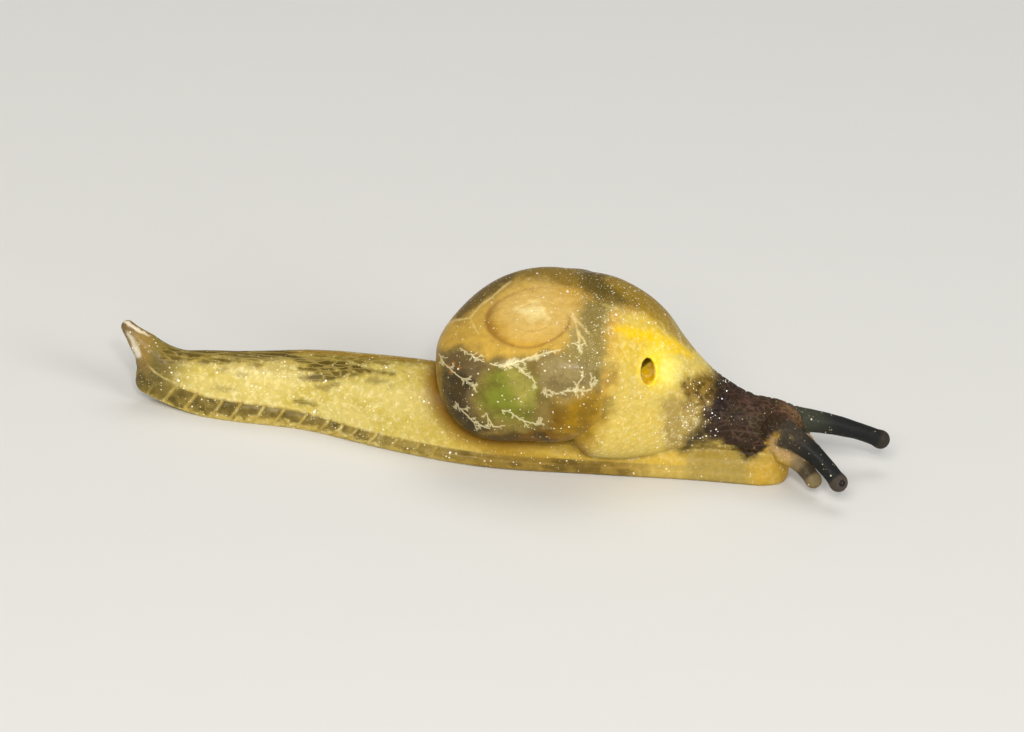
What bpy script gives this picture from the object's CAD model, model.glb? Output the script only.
"""Dresses the semislug for its portrait: one wet skin over all the flesh, a glossy coiled shell, two eye
dots, and a plain studio round them. Forms are in millimetres, and each mesh is turned to metres."""

import itertools
import math

import bpy
import numpy as np
from mathutils import Matrix, Vector
from mathutils.kdtree import KDTree


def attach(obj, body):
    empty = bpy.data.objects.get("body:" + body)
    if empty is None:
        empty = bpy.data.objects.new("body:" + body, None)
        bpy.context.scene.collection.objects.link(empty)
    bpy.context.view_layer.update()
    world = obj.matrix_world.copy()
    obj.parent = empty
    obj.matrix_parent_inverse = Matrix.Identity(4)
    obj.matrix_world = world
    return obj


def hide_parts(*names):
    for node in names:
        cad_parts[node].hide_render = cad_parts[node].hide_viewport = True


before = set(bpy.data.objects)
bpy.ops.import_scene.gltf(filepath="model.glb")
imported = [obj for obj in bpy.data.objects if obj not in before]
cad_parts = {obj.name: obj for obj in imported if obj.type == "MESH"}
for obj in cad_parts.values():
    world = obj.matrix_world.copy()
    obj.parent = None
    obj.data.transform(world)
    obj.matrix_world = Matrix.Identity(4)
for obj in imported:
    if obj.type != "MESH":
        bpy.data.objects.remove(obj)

bl_info = {
    "name": "Semislug",
    "version": (1, 0, 0),
    "blender": (4, 5, 0),
    "location": "3D View > Sidebar > Semislug",
    "description": "Builds the skin, shell, eyes and studio of a life-size semislug",
    "category": "Object",
}

MM = 0.001
SEED = 7
CLOUD_CELLS = 32
SIDES = ("right", "left")

# The camera: it looks along +Y from above, rolled, at a point in the middle of the hump
CAMERA_TARGET = np.array([0.10, 0.20, 2.571])
CAMERA_DISTANCE = 183.0
CAMERA_ELEVATION = math.radians(25)
CAMERA_ROLL = math.radians(6.8)
TO_CAMERA = np.array([0, -math.cos(CAMERA_ELEVATION), math.sin(CAMERA_ELEVATION)])
LEVEL_UP = np.array([0, math.sin(CAMERA_ELEVATION), math.cos(CAMERA_ELEVATION)])
PICTURE_WIDTH = 1024
PICTURE_HEIGHT = 732
PIXELS_PER_MM = 34.13
SENSOR_WIDTH = 36.0
FLOOR_HALF_WIDTH = 1500.0

# The foot, from the tail's end to the front edge: tables of (x, value)
TAIL_END_X = -10.85
FOOT_FRONT_X = 8.55
SOLE_HALF_WIDTH = 1.41
SOLE_WIDEST_X = 0.3
SOLE_TAPER_LENGTH = 12.2
FRONT_ROUNDING = 0.95
TAIL_ROUNDING = 0.30
FRONT_BLUNTNESS = 0.28
TAIL_BLUNTNESS = 0.45
BACK_HEIGHT = ((-10.85, 1.25), (-10.1, 1.62), (-9.3, 1.82), (-6.5, 2.02), (-2.3, 2.44),
               (0.2, 2.10), (2.6, 1.02), (5.0, 0.90), (8.55, 0.96))
FRINGE_HEIGHT = ((-10.85, 0.62), (-9.4, 0.72), (-6.5, 0.66), (-4.0, 0.49), (8.55, 0.45))
FRINGE_MARK_HEIGHT = ((-10.85, 1.10), (-10.5, 0.97), (-10.1, 0.86), (-9.5, 0.76), (-8.6, 0.71),
                      (-6.5, 0.66), (-4.0, 0.49), (8.55, 0.45))
TAIL_LIFT = ((-10.85, 0.50), (-10.1, 0.26), (-9.4, 0.10), (-8.6, 0.0), (-8.0, 0.0), (8.55, 0.0))
BLOTCH_STRENGTH = ((-10.9, 1.0), (-7.5, 0.95), (-4.5, 0.9), (-2.5, 0.6), (0.5, 0.25), (3.5, 0.1), (4.5, 0.0))
BLOTCH_BOTTOM = ((-10.9, 1.0), (-9.0, 0.80), (-7.0, 0.60), (-2.0, 0.60), (8.0, 0.6))
BACK_FULLNESS = ((-10.85, 0.95), (-2.3, 0.90), (2.6, 0.55), (8.55, 0.50))
BENDS = ((-5.8, 1.7, 0.34), (-0.5, 2.6, -0.38), (5.9, 2.1, 0.14))
SPINE_Y = 0.20

# The trunk: mantle, neck and head
TRUNK_START_X = 0.5
TRUNK_FRONT_X = 8.80
TRUNK_HALF_WIDTH = ((0.5, 1.90), (1.3, 2.28), (2.2, 2.58), (3.2, 2.38), (4.3, 1.88), (5.3, 1.36),
                    (6.3, 1.04), (7.4, 0.90), (8.2, 0.82), (8.8, 0.74))
TRUNK_LEFT_WIDTH = ((0.5, 1.80), (1.3, 2.12), (2.2, 2.14), (3.2, 1.90), (4.3, 1.60), (5.3, 1.28),
                    (6.3, 1.04), (7.4, 0.90), (8.2, 0.82), (8.8, 0.74))
TRUNK_TOP = ((0.5, 4.90), (1.3, 5.38), (2.2, 5.66), (3.2, 5.50), (4.3, 4.83), (5.3, 3.68), (6.2, 2.90),
             (7.1, 2.46), (8.0, 2.36), (8.8, 2.26))
TRUNK_BOTTOM = ((0.5, 3.0), (1.3, 2.30), (1.9, 1.45), (2.25, 0.85), (2.7, 0.54), (4.0, 0.50), (5.4, 0.80),
                (8.8, 1.00))
TRUNK_ROUNDING = 0.80
TRUNK_UPPER_POWER = 2.3
TRUNK_LOWER_POWER = 3.0

# The drum across the body whose front is the mantle's edge on the shell, and how the two lie there
MANTLE_EDGE_RADIUS = 2.8
MANTLE_EDGE_CENTRE = (-0.42, 0.0, 3.0)
MANTLE_EDGE_YAW = math.radians(8)
MANTLE_EDGE_SINK = 0.04
MANTLE_TOP_RISE = 0.15
SHELL_TUCK = 0.12

# The breathing pore
PORE_CENTRE = (4.00, -1.55, 3.77)
PORE_RADII = (0.23, 0.62, 0.30)
PORE_TURN = (math.radians(28), math.radians(-18), math.radians(16))

# The flesh between the foot and the shell
UNDER_SHELL_CENTRE = (1.1, 0.75, 1.55)
UNDER_SHELL_RADII = (1.7, 1.15, 0.85)

# The box that is sampled for the skin, and the boxes that hold its larger forms
SKIN_BOX = ((-12.0, -3.2, -0.2), (11.8, 3.3, 6.0))
FOOT_BOX = ((-11.4, -1.9, -0.2), (9.0, 2.3, 3.0))
HORN_BOX = ((-12.0, -1.0, 0.4), (-9.0, 1.4, 3.2))
UNDER_SHELL_BOX = ((-1.0, -1.0, 0.3), (3.2, 2.2, 3.0))
HUMP_BOX = ((0.2, -3.2, 0.1), (9.3, 3.3, 6.0))
FAR_OUTSIDE = 5.0

# How far the skin moves for its small relief
GROOVE_DEPTH = 0.045
PORE_RIM_HEIGHT = 0.040
FLESH_UNEVENNESS = 0.020

# The shell, in its own frame about its leaning axis
SHELL_CENTRE = Vector((0.64, -0.80, 3.73))
SHELL_AXIS = Vector((-0.171, -0.201, 0.965)).normalized()
SHELL_RADIUS = 2.78
SHELL_SWELLS = ((1, 0.60, math.radians(81)), (2, 0.08, math.radians(1)), (3, 0.26, math.radians(86)))
SHELL_DOME = 1.10
SHELL_DOME_POWER = 2.49
SHELL_DOME_SHIFT = (0.16, -0.12)
SHELL_BASE = 2.46
SHELL_BASE_POWER = 2.6
SHELL_BASE_SHIFT = (-0.23, -0.60)
COIL_GROWTH = 2.10
COIL_RIM_SHARE = 0.70
COIL_END_ANGLE = math.radians(12)
SUTURE_DEPTH = 0.015
SUTURE_WIDTH = 0.065
SUTURE_FADE = 0.1
SUTURE_TURNS = 5
SHELL_ROWS = 200
SHELL_COLUMNS = 1000

# The head's feelers: root, bend and tip of each path, and the radius along it
EYE_STALKS = {
    "right": ((7.95, -0.40, 1.84), (9.05, -0.74, 1.66), (9.96, -1.43, 0.85)),
    "left": ((7.95, 0.62, 1.74), (9.85, 1.05, 1.66), (11.18, 1.46, 1.03)),
}
STALK_RADII = ((0.0, 0.42), (0.35, 0.33), (0.7, 0.26), (1.0, 0.245))
EYE_RADIUS = 0.28
EYE_DOT_FACES = {"right": (0.36, -0.86, 0.36), "left": (0.36, 0.86, 0.36)}
EYE_DOT_INSET = 0.02
EYE_DOT_RISE = 0.035
EYE_DOT_RINGS = 10
EYE_DOT_TURNS = 32
FEELERS = {
    "right": ((8.30, -0.36, 1.04), (8.88, -0.60, 0.94), (9.26, -0.86, 0.56)),
    "left": ((8.30, 0.56, 1.04), (8.88, 0.80, 0.94), (9.26, 1.06, 0.56)),
}
FEELER_RADII = ((0.0, 0.27), (0.5, 0.24), (0.8, 0.235), (1.0, 0.25))
LIPS_CENTRE = (8.58, 0.12, 1.08)
LIPS_RADII = (0.50, 0.58, 0.42)
SNOUT_LOBES = {
    "right": ((8.40, -0.34, 1.36), (8.90, -0.50, 1.24), (9.14, -0.62, 0.92)),
    "left": ((8.40, 0.58, 1.36), (8.90, 0.74, 1.24), (9.14, 0.86, 0.92)),
}
SNOUT_LOBE_RADII = ((0.0, 0.22), (0.6, 0.18), (1.0, 0.13))
SLIT_CENTRE = (9.12, 0.12, 0.98)
SLIT_RADII = (0.22, 0.09, 0.26)
HORN_PATH = ((-10.05, 0.0, 1.30), (-10.75, 0.0, 1.85), (-11.22, 0.0, 2.36))
HORN_RADII = ((0.0, 0.56), (0.45, 0.42), (0.8, 0.26), (1.0, 0.20))

FLESH_NODES = ("tail_end", "tail_root", "tail_horn", "foot_middle", "foot_front", "mantle", "head", "mouth",
               "eye_stalk_right", "eye_stalk_left", "feeler_right", "feeler_left")

# Where the markings lie, as pixels of the 1024 x 732 picture, read by eye
FRINGE_LINES_PX = (146, 161.5, 177.5, 197.5, 224, 242.5, 266, 285.5, 308.5, 330.5, 345, 359, 378.5, 399.5,
                   421.5, 439)
FRINGE_SLANT_PX = 15
RIDGE_GOLD_PX = ((292, 351), (330, 352), (360, 355), (400, 358.5), (436, 362.5))
BACK_GOLD_PX = ((300, 353), (340, 357), (380, 360), (420, 363))
HORN_GLINT_PX = ((124, 321), (131, 325), (140, 331), (149, 336))
HORN_STREAK_PX = ((130, 333), (134, 340), (138, 355))
STREAK_BROWN = "#544518"
BACK_STREAKS_PX = (
    (5.0, 0.9, ((164, 351), (185, 351), (210, 351), (235, 351), (260, 351), (300, 352))),
    (4.6, 0.8, ((162, 360), (185, 359), (197, 357.5))),
    (3.4, 0.8, ((197, 363), (212, 360), (222, 361))),
    (3.4, 0.8, ((214, 362), (229, 359.5), (245, 358), (285, 357))),
    (3.0, 0.7, ((250, 365), (262, 365))),
    (3.0, 0.35, ((219, 370), (227, 369))),
    (3.4, 0.35, ((234, 375), (247, 375))),
    (3.4, 0.35, ((212, 388), (232, 390))),
    (4.0, 0.5, ((155, 367), (165, 373))),
    (3.6, 1.0, ((270, 353.5), (289, 355), (299, 359), (320, 363), (340, 365), (357, 368), (370, 370.5))),
    (1.3, 0.9, ((366, 370), (382, 372.5), (395, 374.5))),
    (3.6, 0.9, ((300, 369), (320, 368.5), (335, 367.5), (347, 367))),
    (4.6, 0.9, ((301, 377.5), (314, 378.5), (326, 377), (340, 373.5), (351, 371))),
    (4.6, 0.6, ((315, 386), (326, 387.5), (337, 384))),
    (3.6, 0.7, ((350, 376), (357, 372.5), (367, 371))),
    (3.6, 0.45, ((366, 381), (376, 380), (386, 381))),
    (2.6, 0.3, ((388, 387), (395, 386))),
    (2.6, 0.9, ((306, 351), (317, 353.5), (326, 357), (332, 359))),
    (2.8, 0.9, ((318, 351.5), (330, 353), (340, 358), (346, 361))),
    (3.0, 0.9, ((340, 356), (350, 358.5), (360, 362), (367, 364))),
    (2.8, 0.8, ((355, 357.5), (367, 358.5), (378, 361.5), (387, 364))),
    (2.0, 0.7, ((382, 358), (392, 359.5))),
    (1.5, 0.6, ((400, 360), (417, 361))),
    (3.2, 0.7, ((295, 401), (304, 402), (314, 405))),
)
HEAD_DARK_PX = ((732, 380), (790, 390), (850, 396), (850, 446), (804, 440), (790, 433), (778, 434),
                (771, 440), (767, 447), (758, 457), (746, 460), (738, 451), (721, 443), (707, 442),
                (698, 443), (681, 452), (686, 442), (697, 428), (702, 418), (706, 406), (716, 394))
HEAD_SOFT_X_PX = (735, 712)
HEAD_CREST_PX = (735, 384)
HEAD_CREST_SLOPE = 0.33
HEAD_CREST_X_PX = (722, 738)
HEAD_TAN_PX = ((778, 402), (800, 405), (814, 417), (808, 430), (797, 424), (784, 412))
NECK_SHADE_PX = ((675, 370), (694, 377), (712, 371), (744, 386), (726, 418), (706, 418), (694, 406),
                 (680, 396))
SNOUT_PX = ((770, 436), (780, 440), (792, 446), (806, 457), (812, 466), (800, 468), (783, 461), (770, 450))
FOOT_PALE_PX = ((688, 449), (700, 445), (735, 445), (760, 458), (800, 462), (800, 492), (690, 484))
FOOT_GOLD_PX = ((750, 466), (782, 458), (800, 478), (786, 492), (752, 486))
CHIN_GOLD_PX = ((694, 452), (712, 443), (736, 453), (722, 460), (700, 461))
MANTLE_PX = ((625, 322), (618, 335), (616, 345), (615, 362), (614, 385), (604, 402), (598, 416),
             (590, 430), (570, 446), (560, 480), (760, 480), (760, 360), (700, 330), (668, 322),
             (640, 318))
MANTLE_GLOW_PX = (646, 346)
MANTLE_BAND_PX = ((617, 328), (626, 331), (655, 338), (672, 345), (692, 356))
MANTLE_PALE_LINE_PX = ((604, 305), (614, 308), (622, 313), (632, 319), (640, 329))
MANTLE_AMBER_PX = ((560, 400), (596, 392), (606, 404), (604, 424), (596, 444), (582, 456), (558, 440))
MANTLE_TOP_PX = ((600, 268), (645, 268), (700, 345), (690, 352), (668, 332), (650, 316), (630, 300),
                 (606, 284))
NECK_FLECKS_PX = ((680, 416), (700, 400), (716, 408), (716, 430), (704, 440), (684, 446), (660, 442),
                  (656, 432))
NECK_PALE_PX = ((662, 402), (690, 392), (706, 400), (706, 440), (690, 448), (668, 446), (660, 430))
MANTLE_LOBE_PX = ((556, 440), (574, 441), (590, 456), (580, 462), (556, 456))
PORE_GLOW_PX = (658, 366)
PORE_SHINE_PX = (671, 371)
PORE_GLINT_PX = (641, 370)
PORE_RIM_X_PX = (646, 655)
PORE_SHADE_X_PX = (655, 650)
PORE_GLINT_X_PX = (652, 649)
HUMP_DARK_PX = ((580, 266), (606, 270), (630, 288), (636, 301), (622, 309), (602, 304), (584, 290))
HUMP_SPECKS_PX = ((566, 270), (600, 268), (636, 290), (646, 312), (630, 322), (606, 340), (600, 372),
                  (574, 360), (580, 320), (560, 290))
HUMP_BROWN_PX = ((500, 262), (600, 262), (650, 286), (700, 340), (690, 346), (672, 330), (650, 316),
                 (628, 305), (590, 292), (560, 286), (530, 281), (505, 280))
UNDER_SHELL_PX = ((484, 451), (520, 455), (556, 459))
MANTLE_LOW_EDGE_PX = ((573, 441), (588, 458), (621, 460), (659, 456), (682, 450), (697, 441))
SHELL_LOWER_PX = ((438, 350), (462, 346), (486, 358), (520, 358), (560, 350), (600, 352), (604, 390),
                  (592, 406), (566, 412), (556, 436), (470, 436), (446, 410))
SHELL_TOP_DARK_PX = ((453, 320), (460, 303), (474, 290), (490, 280), (512, 271), (518, 275), (508, 285),
                     (488, 299), (470, 312), (458, 324))
SHELL_UPPER_RIGHT_PX = ((571, 314), (588, 300), (612, 304), (608, 320), (606, 345), (606, 372),
                        (596, 384), (580, 368), (566, 352), (571, 336))
SHELL_DARK_LEFT_PX = ((438, 352), (458, 346), (476, 352), (484, 366), (476, 384), (470, 402), (476, 420),
                      (490, 432), (470, 434), (450, 414), (441, 392))
SHELL_DARKEST_PX = ((442, 374), (458, 370), (474, 384), (468, 402), (474, 418), (486, 430), (468, 431),
                    (451, 412))
SHELL_SPOTS_PX = ((448, 366), (454, 363), (459, 368), (451, 372))
SHELL_GREEN_PX = ((486, 380), (498, 368), (520, 368), (536, 382), (536, 404), (528, 420), (508, 424),
                  (488, 416), (478, 400))
SHELL_PALE_GREEN_PX = ((506, 370), (524, 370), (536, 382), (534, 402), (522, 408), (514, 392))
SHELL_GREY_PX = ((538, 362), (556, 354), (578, 354), (592, 366), (598, 388), (588, 402), (566, 402),
                 (544, 396))
SHELL_ORANGE_PX = ((552, 410), (580, 406), (600, 406), (594, 424), (574, 436), (552, 430))
SHELL_RIM_PX = ((446, 408), (462, 424), (482, 433), (510, 434), (545, 431), (576, 436), (576, 448),
                (520, 448), (466, 442))
SHELL_SHOULDER_PX = ((572, 322), (584, 318), (594, 345), (584, 364), (564, 356), (570, 342))
SHELL_TIP_PX = (536, 311)
SHELL_MOTTLE_Y_PX = (352, 366)
RIM_AMBER_X_PX = (470, 500)
RIM_SHADE_X_PX = (520, 488)
SUTURE_CLEAR_X_PX = (505, 485)
SUTURE_CLEAR_Y_PX = (300, 330)
RIGHT_SPECKS_X_PX = (540, 585)
RIGHT_SPECKS_Y_PX = (405, 340)
TOP_SPECKS_X_PX = (500, 530)
TOP_SPECKS_Y_PX = (310, 290)
SHELL_BAND_PX = ((500, 367), (517, 361), (530, 359.5), (548, 354))
SHELL_THREADS_PX = (
    (1.1, ((444, 326), (455, 320), (470, 318), (480, 306), (492, 297), (504, 287), (511, 281))),
    (0.7, ((470, 318), (474, 326), (478, 333))),
    (1.2, ((572, 312), (576, 325), (579, 336), (579, 347))),
    (0.8, ((574, 318), (583, 327), (590, 335))),
    (0.7, ((579, 334), (584, 340), (586, 346))),
)
SHELL_VEINS_PX = (
    (0.8, ((439, 354), (444, 364), (455, 373), (465, 380), (476, 390))),
    (0.9, ((460, 348), (468, 353), (477, 358), (484, 362))),
    (0.8, ((455, 402), (464, 413), (471, 420), (484, 427), (490, 429))),
    (0.8, ((486, 413), (489, 420), (493, 427), (505, 425))),
    (1.0, ((502, 410), (512, 413), (520, 419), (530, 423), (536, 425), (543, 419))),
    (1.7, ((490, 364), (505, 366), (517, 362), (527, 358), (542, 354))),
    (1.2, ((542, 354), (552, 352), (561, 350))),
    (1.2, ((515, 363), (521, 370), (531, 378), (536, 383))),
    (0.8, ((573, 343), (579, 346), (586, 343))),
    (1.1, ((541, 393), (549, 391), (556, 394), (566, 391), (577, 390), (586, 391), (592, 388), (590, 382))),
    (0.8, ((574, 390), (578, 383), (584, 376))),
)
VEIN_STEP_PX = 0.35
VEIN_SOFTNESS_PX = 0.65
TWIG_HALF_WIDTH_PX = 0.08


def hex_colour(text):
    """A colour written as sRGB hex, as linear red, green and blue."""
    channels = [int(text[k:k + 2], 16) / 255 for k in (1, 3, 5)]
    return tuple(c / 12.92 if c <= 0.04045 else ((c + 0.055) / 1.055) ** 2.4 for c in channels)


def opaque(text):
    """A colour written as sRGB hex, as a socket takes it."""
    return (*hex_colour(text), 1)


def per_metre(size):
    """The scale of a pattern whose cells or lumps have that size in millimetres."""
    return 1 / MM / size


def ramp(low, high, value):
    """0 at low, 1 at high and a smooth rise between."""
    t = np.clip((value - low) / (high - low), 0, 1)
    return t * t * (3 - 2 * t)


def along(table, x):
    """The value at x of a short table of (x, value), joined by smooth steps of even slope."""
    at, value = np.array(table, float).T
    x = np.clip(x, at[0], at[-1])
    i = np.clip(np.searchsorted(at, x) - 1, 0, len(at) - 2)
    before, after = np.maximum(i - 1, 0), np.minimum(i + 2, len(at) - 1)
    span = at[i + 1] - at[i]
    slope_a = (value[i + 1] - value[before]) / (at[i + 1] - at[before])
    slope_b = (value[after] - value[i]) / (at[after] - at[i])
    t = (x - at[i]) / span
    return (value[i] * (2 * t**3 - 3 * t**2 + 1) + value[i + 1] * (3 * t**2 - 2 * t**3)
            + span * slope_a * (t**3 - 2 * t**2 + t) + span * slope_b * (t**3 - t**2))


def spine_y(x):
    """How far the middle line of the body lies to the left at x."""
    return SPINE_Y + sum(shift * np.exp(-((x - centre) / reach) ** 2) for centre, reach, shift in BENDS)


def rounded_end(x, end_x, length, inward):
    """1 away from an end, falling to 0 there in a quarter circle. inward is the sign of x into the body."""
    into = np.clip((x - end_x) * inward / length, 0, 1)
    return np.sqrt(1 - (1 - into) ** 2)


def half_width(x):
    """Half the width of the sole at x."""
    wide = SOLE_HALF_WIDTH * (1 - ((x - SOLE_WIDEST_X) / SOLE_TAPER_LENGTH) ** 2)
    front = rounded_end(x, FOOT_FRONT_X, FRONT_ROUNDING, -1)
    tail = rounded_end(x, TAIL_END_X, TAIL_ROUNDING, 1)
    return wide * np.maximum(front, FRONT_BLUNTNESS) * np.maximum(tail, TAIL_BLUNTNESS)


def joined(a, b, fillet):
    """Two forms made one, with a fillet of about that size where they meet."""
    near = np.maximum(fillet - np.abs(a - b), 0) / fillet
    return np.minimum(a, b) - near * near * fillet / 4


def cut_by(a, b, fillet):
    """The form a without the form b, its new edge rounded by about the fillet."""
    return -joined(-a, b, fillet)


def outside(radius, share):
    """How far a point is outside a round form, from its distance to the middle and that distance in shares of
    the way to the surface."""
    return radius * (1 - 1 / np.maximum(share, 1e-3))


def blunt(a, b, power):
    """Two shares that lie across each other as one: round at a power of 2, and more like a box above it."""
    return (a**power + b**power) ** (1 / power)


def foot_form(x, y, z):
    """How far a point lies outside the foot: a slab with a rounded fringe, and the back above it."""
    at = np.clip(x, TAIL_END_X, FOOT_FRONT_X)
    wide = half_width(at)
    lift = np.maximum(along(TAIL_LIFT, at), 0)
    fringe = along(FRINGE_HEIGHT, at)
    front = rounded_end(at, FOOT_FRONT_X, 0.6 * FRONT_ROUNDING, -1)
    back = np.maximum(along(BACK_HEIGHT, at) * (0.72 + 0.28 * front), lift + fringe + 0.2)
    bend = 2 / along(BACK_FULLNESS, at)
    across = np.abs(y - spine_y(at))
    up = z - lift - 0.47 * fringe
    slab = outside(np.hypot(across, up), blunt(across / (1.02 * wide), np.abs(up / (0.53 * fringe)), 4))
    base = lift + fringe + 0.06
    up = np.maximum(z - base, 0)
    share = ((across / (0.93 * wide)) ** bend + (up / (back - base)) ** 2) ** 0.42
    hill = outside(np.hypot(across, up), share)
    form = joined(slab, hill, 0.05)
    form = np.maximum(form, lift - z)
    form = cut_by(form, FOOT_FRONT_X - x, 0.22)
    return cut_by(form, x - TAIL_END_X, 0.18)


def trunk_form(x, y, z):
    """How far a point lies outside the mantle, neck or head."""
    at = np.clip(x, TRUNK_START_X, TRUNK_FRONT_X)
    end = np.maximum(rounded_end(at, TRUNK_FRONT_X, TRUNK_ROUNDING, -1), 0.22)
    wide = np.where(y > spine_y(at), along(TRUNK_LEFT_WIDTH, at), along(TRUNK_HALF_WIDTH, at)) * end
    top, bottom = along(TRUNK_TOP, at), along(TRUNK_BOTTOM, at)
    middle = bottom + 0.46 * (top - bottom)
    across = np.abs(y - spine_y(at))
    up = z - middle
    high = np.maximum(up, 0) / ((top - middle) * end)
    low = np.maximum(-up, 0) / ((middle - bottom) * end)
    upper = blunt(across / wide, high, TRUNK_UPPER_POWER)
    lower = blunt(across / wide, low, TRUNK_LOWER_POWER)
    form = outside(np.hypot(across, up), np.where(up >= 0, upper, lower))
    form = cut_by(form, TRUNK_FRONT_X - x, 0.15)
    return np.maximum(form, TRUNK_START_X - x)


def shell_frame():
    """The shell's own front, left and axis."""
    front = (Vector((1, 0, 0)) - SHELL_AXIS * SHELL_AXIS.x).normalized()
    return front, SHELL_AXIS.cross(front), SHELL_AXIS


def shell_reach(angle):
    """The shell's radius at its widest, which swells more on some sides than on others."""
    swells = (amount * np.cos(times * (angle - where)) for times, amount, where in SHELL_SWELLS)
    return SHELL_RADIUS + sum(swells)


def about_shell(x, y, z):
    """Where a point lies about the shell's axis: ahead, beside, up, and the share of the shell's height."""
    x, y, z = x - SHELL_CENTRE.x, y - SHELL_CENTRE.y, z - SHELL_CENTRE.z
    ahead, beside, up = (x * way.x + y * way.y + z * way.z for way in shell_frame())
    above = up > 0
    height = np.where(above, up / SHELL_DOME, -up / SHELL_BASE)
    lean = np.clip(height, 0, 1)
    ahead = ahead - lean * np.where(above, SHELL_DOME_SHIFT[0], SHELL_BASE_SHIFT[0])
    beside = beside - lean * np.where(above, SHELL_DOME_SHIFT[1], SHELL_BASE_SHIFT[1])
    return ahead, beside, up, height


def shell_form(x, y, z):
    """How far a point lies outside the shell."""
    ahead, beside, up, height = about_shell(x, y, z)
    share = np.hypot(ahead, beside) / shell_reach(np.arctan2(beside, ahead))
    power = np.where(up > 0, SHELL_DOME_POWER, SHELL_BASE_POWER)
    return outside(np.sqrt(ahead**2 + beside**2 + up**2), blunt(share, height, power))


def ahead_of_edge(x, y, z):
    """How far a point lies ahead of the round line where the mantle ends on the shell."""
    x, y, z = x - MANTLE_EDGE_CENTRE[0], y - MANTLE_EDGE_CENTRE[1], z - MANTLE_EDGE_CENTRE[2]
    level = x * math.cos(MANTLE_EDGE_YAW) + y * math.sin(MANTLE_EDGE_YAW)
    return np.where(level > 0, np.hypot(level, z), 0) - MANTLE_EDGE_RADIUS


def egg_form(x, y, z, centre, radii, turn=(0, 0, 0)):
    """How far a point lies outside an egg of three radii."""
    about_x, about_y, about_z = (Matrix.Rotation(angle, 3, axis) for angle, axis in zip(turn, "XYZ"))
    spin = about_z @ about_y @ about_x
    x, y, z = x - centre[0], y - centre[1], z - centre[2]
    own = [x * way.x + y * way.y + z * way.z for way in spin.transposed()]
    share = np.sqrt(sum((value / radius) ** 2 for value, radius in zip(own, radii)))
    return outside(np.sqrt(x**2 + y**2 + z**2), share)


def pore_form(x, y, z):
    """How far a point lies outside the hollow of the breathing pore."""
    return egg_form(x, y, z, PORE_CENTRE, PORE_RADII, PORE_TURN)


def bent_path(path, count):
    """Points along the bent line from the first to the last of three points."""
    start, bend, tip = (np.array(point, float) for point in path)
    t = np.linspace(0, 1, count)[:, None]
    return (1 - t) ** 2 * start + 2 * t * (1 - t) * bend + t**2 * tip


def tube_form(x, y, z, path, radii, count=26):
    """(how far a point lies outside a bent tube, the share of the way along it that is nearest)."""
    centres = bent_path(path, count)
    shares = np.linspace(0, 1, count)
    sizes = np.interp(shares, *zip(*radii))
    nearest, place = None, None
    for k in range(count - 1):
        run = centres[k + 1] - centres[k]
        dx, dy, dz = x - centres[k][0], y - centres[k][1], z - centres[k][2]
        t = np.clip((dx * run[0] + dy * run[1] + dz * run[2]) / (run @ run), 0, 1)
        far = np.sqrt((dx - t * run[0]) ** 2 + (dy - t * run[1]) ** 2 + (dz - t * run[2]) ** 2)
        far = far - sizes[k] - t * (sizes[k + 1] - sizes[k])
        share = shares[k] + t * (shares[k + 1] - shares[k])
        if nearest is None:
            nearest, place = far, share
        else:
            place = np.where(far < nearest, share, place)
            nearest = np.minimum(far, nearest)
    return nearest, place


def stalk_form(x, y, z, side):
    """(how far a point lies outside an eye stalk and its round end, the share of the way along it)."""
    form, place = tube_form(x, y, z, EYE_STALKS[side], STALK_RADII)
    end = EYE_STALKS[side][2]
    bulb = np.sqrt((x - end[0]) ** 2 + (y - end[1]) ** 2 + (z - end[2]) ** 2) - EYE_RADIUS
    return joined(form, bulb, 0.06), place


def horn_form(x, y, z):
    """(how far a point lies outside the tail's horn, the share of the way along it)."""
    path = [(at_x, at_y + float(spine_y(at_x)), at_z) for at_x, at_y, at_z in HORN_PATH]
    return tube_form(x, y, z, path, HORN_RADII)


def hump_form(x, y, z, film):
    """How far a point lies outside the mantle, its film over the shell's front, and the neck."""
    ahead = ahead_of_edge(x, y, z)
    over = film * ramp(-0.05, 0.4, ahead) - MANTLE_EDGE_SINK * ramp(0.15, -0.3, ahead)
    over += MANTLE_TOP_RISE * ramp(0.0, 0.7, ahead) * ramp(4.3, 5.1, z)
    film_form = shell_form(x, y, z) - over
    rise = 0.5 * np.maximum(ahead, 0) ** 2 + 0.9 * ramp(3.0, 1.2, z) + 2 * ramp(1.5, 0.9, z)
    trunk = cut_by(trunk_form(x, y, z), rise - film_form, 0.12)
    form = joined(trunk, film_form, 0.05 + 0.5 * ramp(0.0, 1.2, ahead))
    return cut_by(form, ahead + 0.3, 0.02 + 0.9 * ramp(2.4, 1.4, z) * ramp(0.2, 1.0, y))


class Block:
    """A box of sample points at an even step, and how far each lies outside the skin."""

    def __init__(self, box, step):
        low, high = box
        self.low, self.step = np.array(low), step
        self.axes = [np.arange(low[k], high[k] + step, step, dtype=np.float32) for k in range(3)]
        self.values = np.full([len(axis) for axis in self.axes], FAR_OUTSIDE, np.float32)

    def part(self, box):
        """The slices and open coordinates of the samples in a smaller box."""
        low, high = box
        cuts = [slice(*np.searchsorted(self.axes[k], (low[k], high[k]))) for k in range(3)]
        shapes = ((-1, 1, 1), (1, -1, 1), (1, 1, -1))
        places = [self.axes[k][cuts[k]].reshape(shapes[k]) for k in range(3)]
        return tuple(cuts), places

    def join(self, form, box, fillet):
        """Adds a form that lies in a box."""
        cuts, places = self.part(box)
        self.values[cuts] = joined(self.values[cuts], form(*places), fillet)

    def cut(self, form, box, fillet):
        """Takes a form that lies in a box away."""
        cuts, places = self.part(box)
        self.values[cuts] = cut_by(self.values[cuts], form(*places), fillet)


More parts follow.
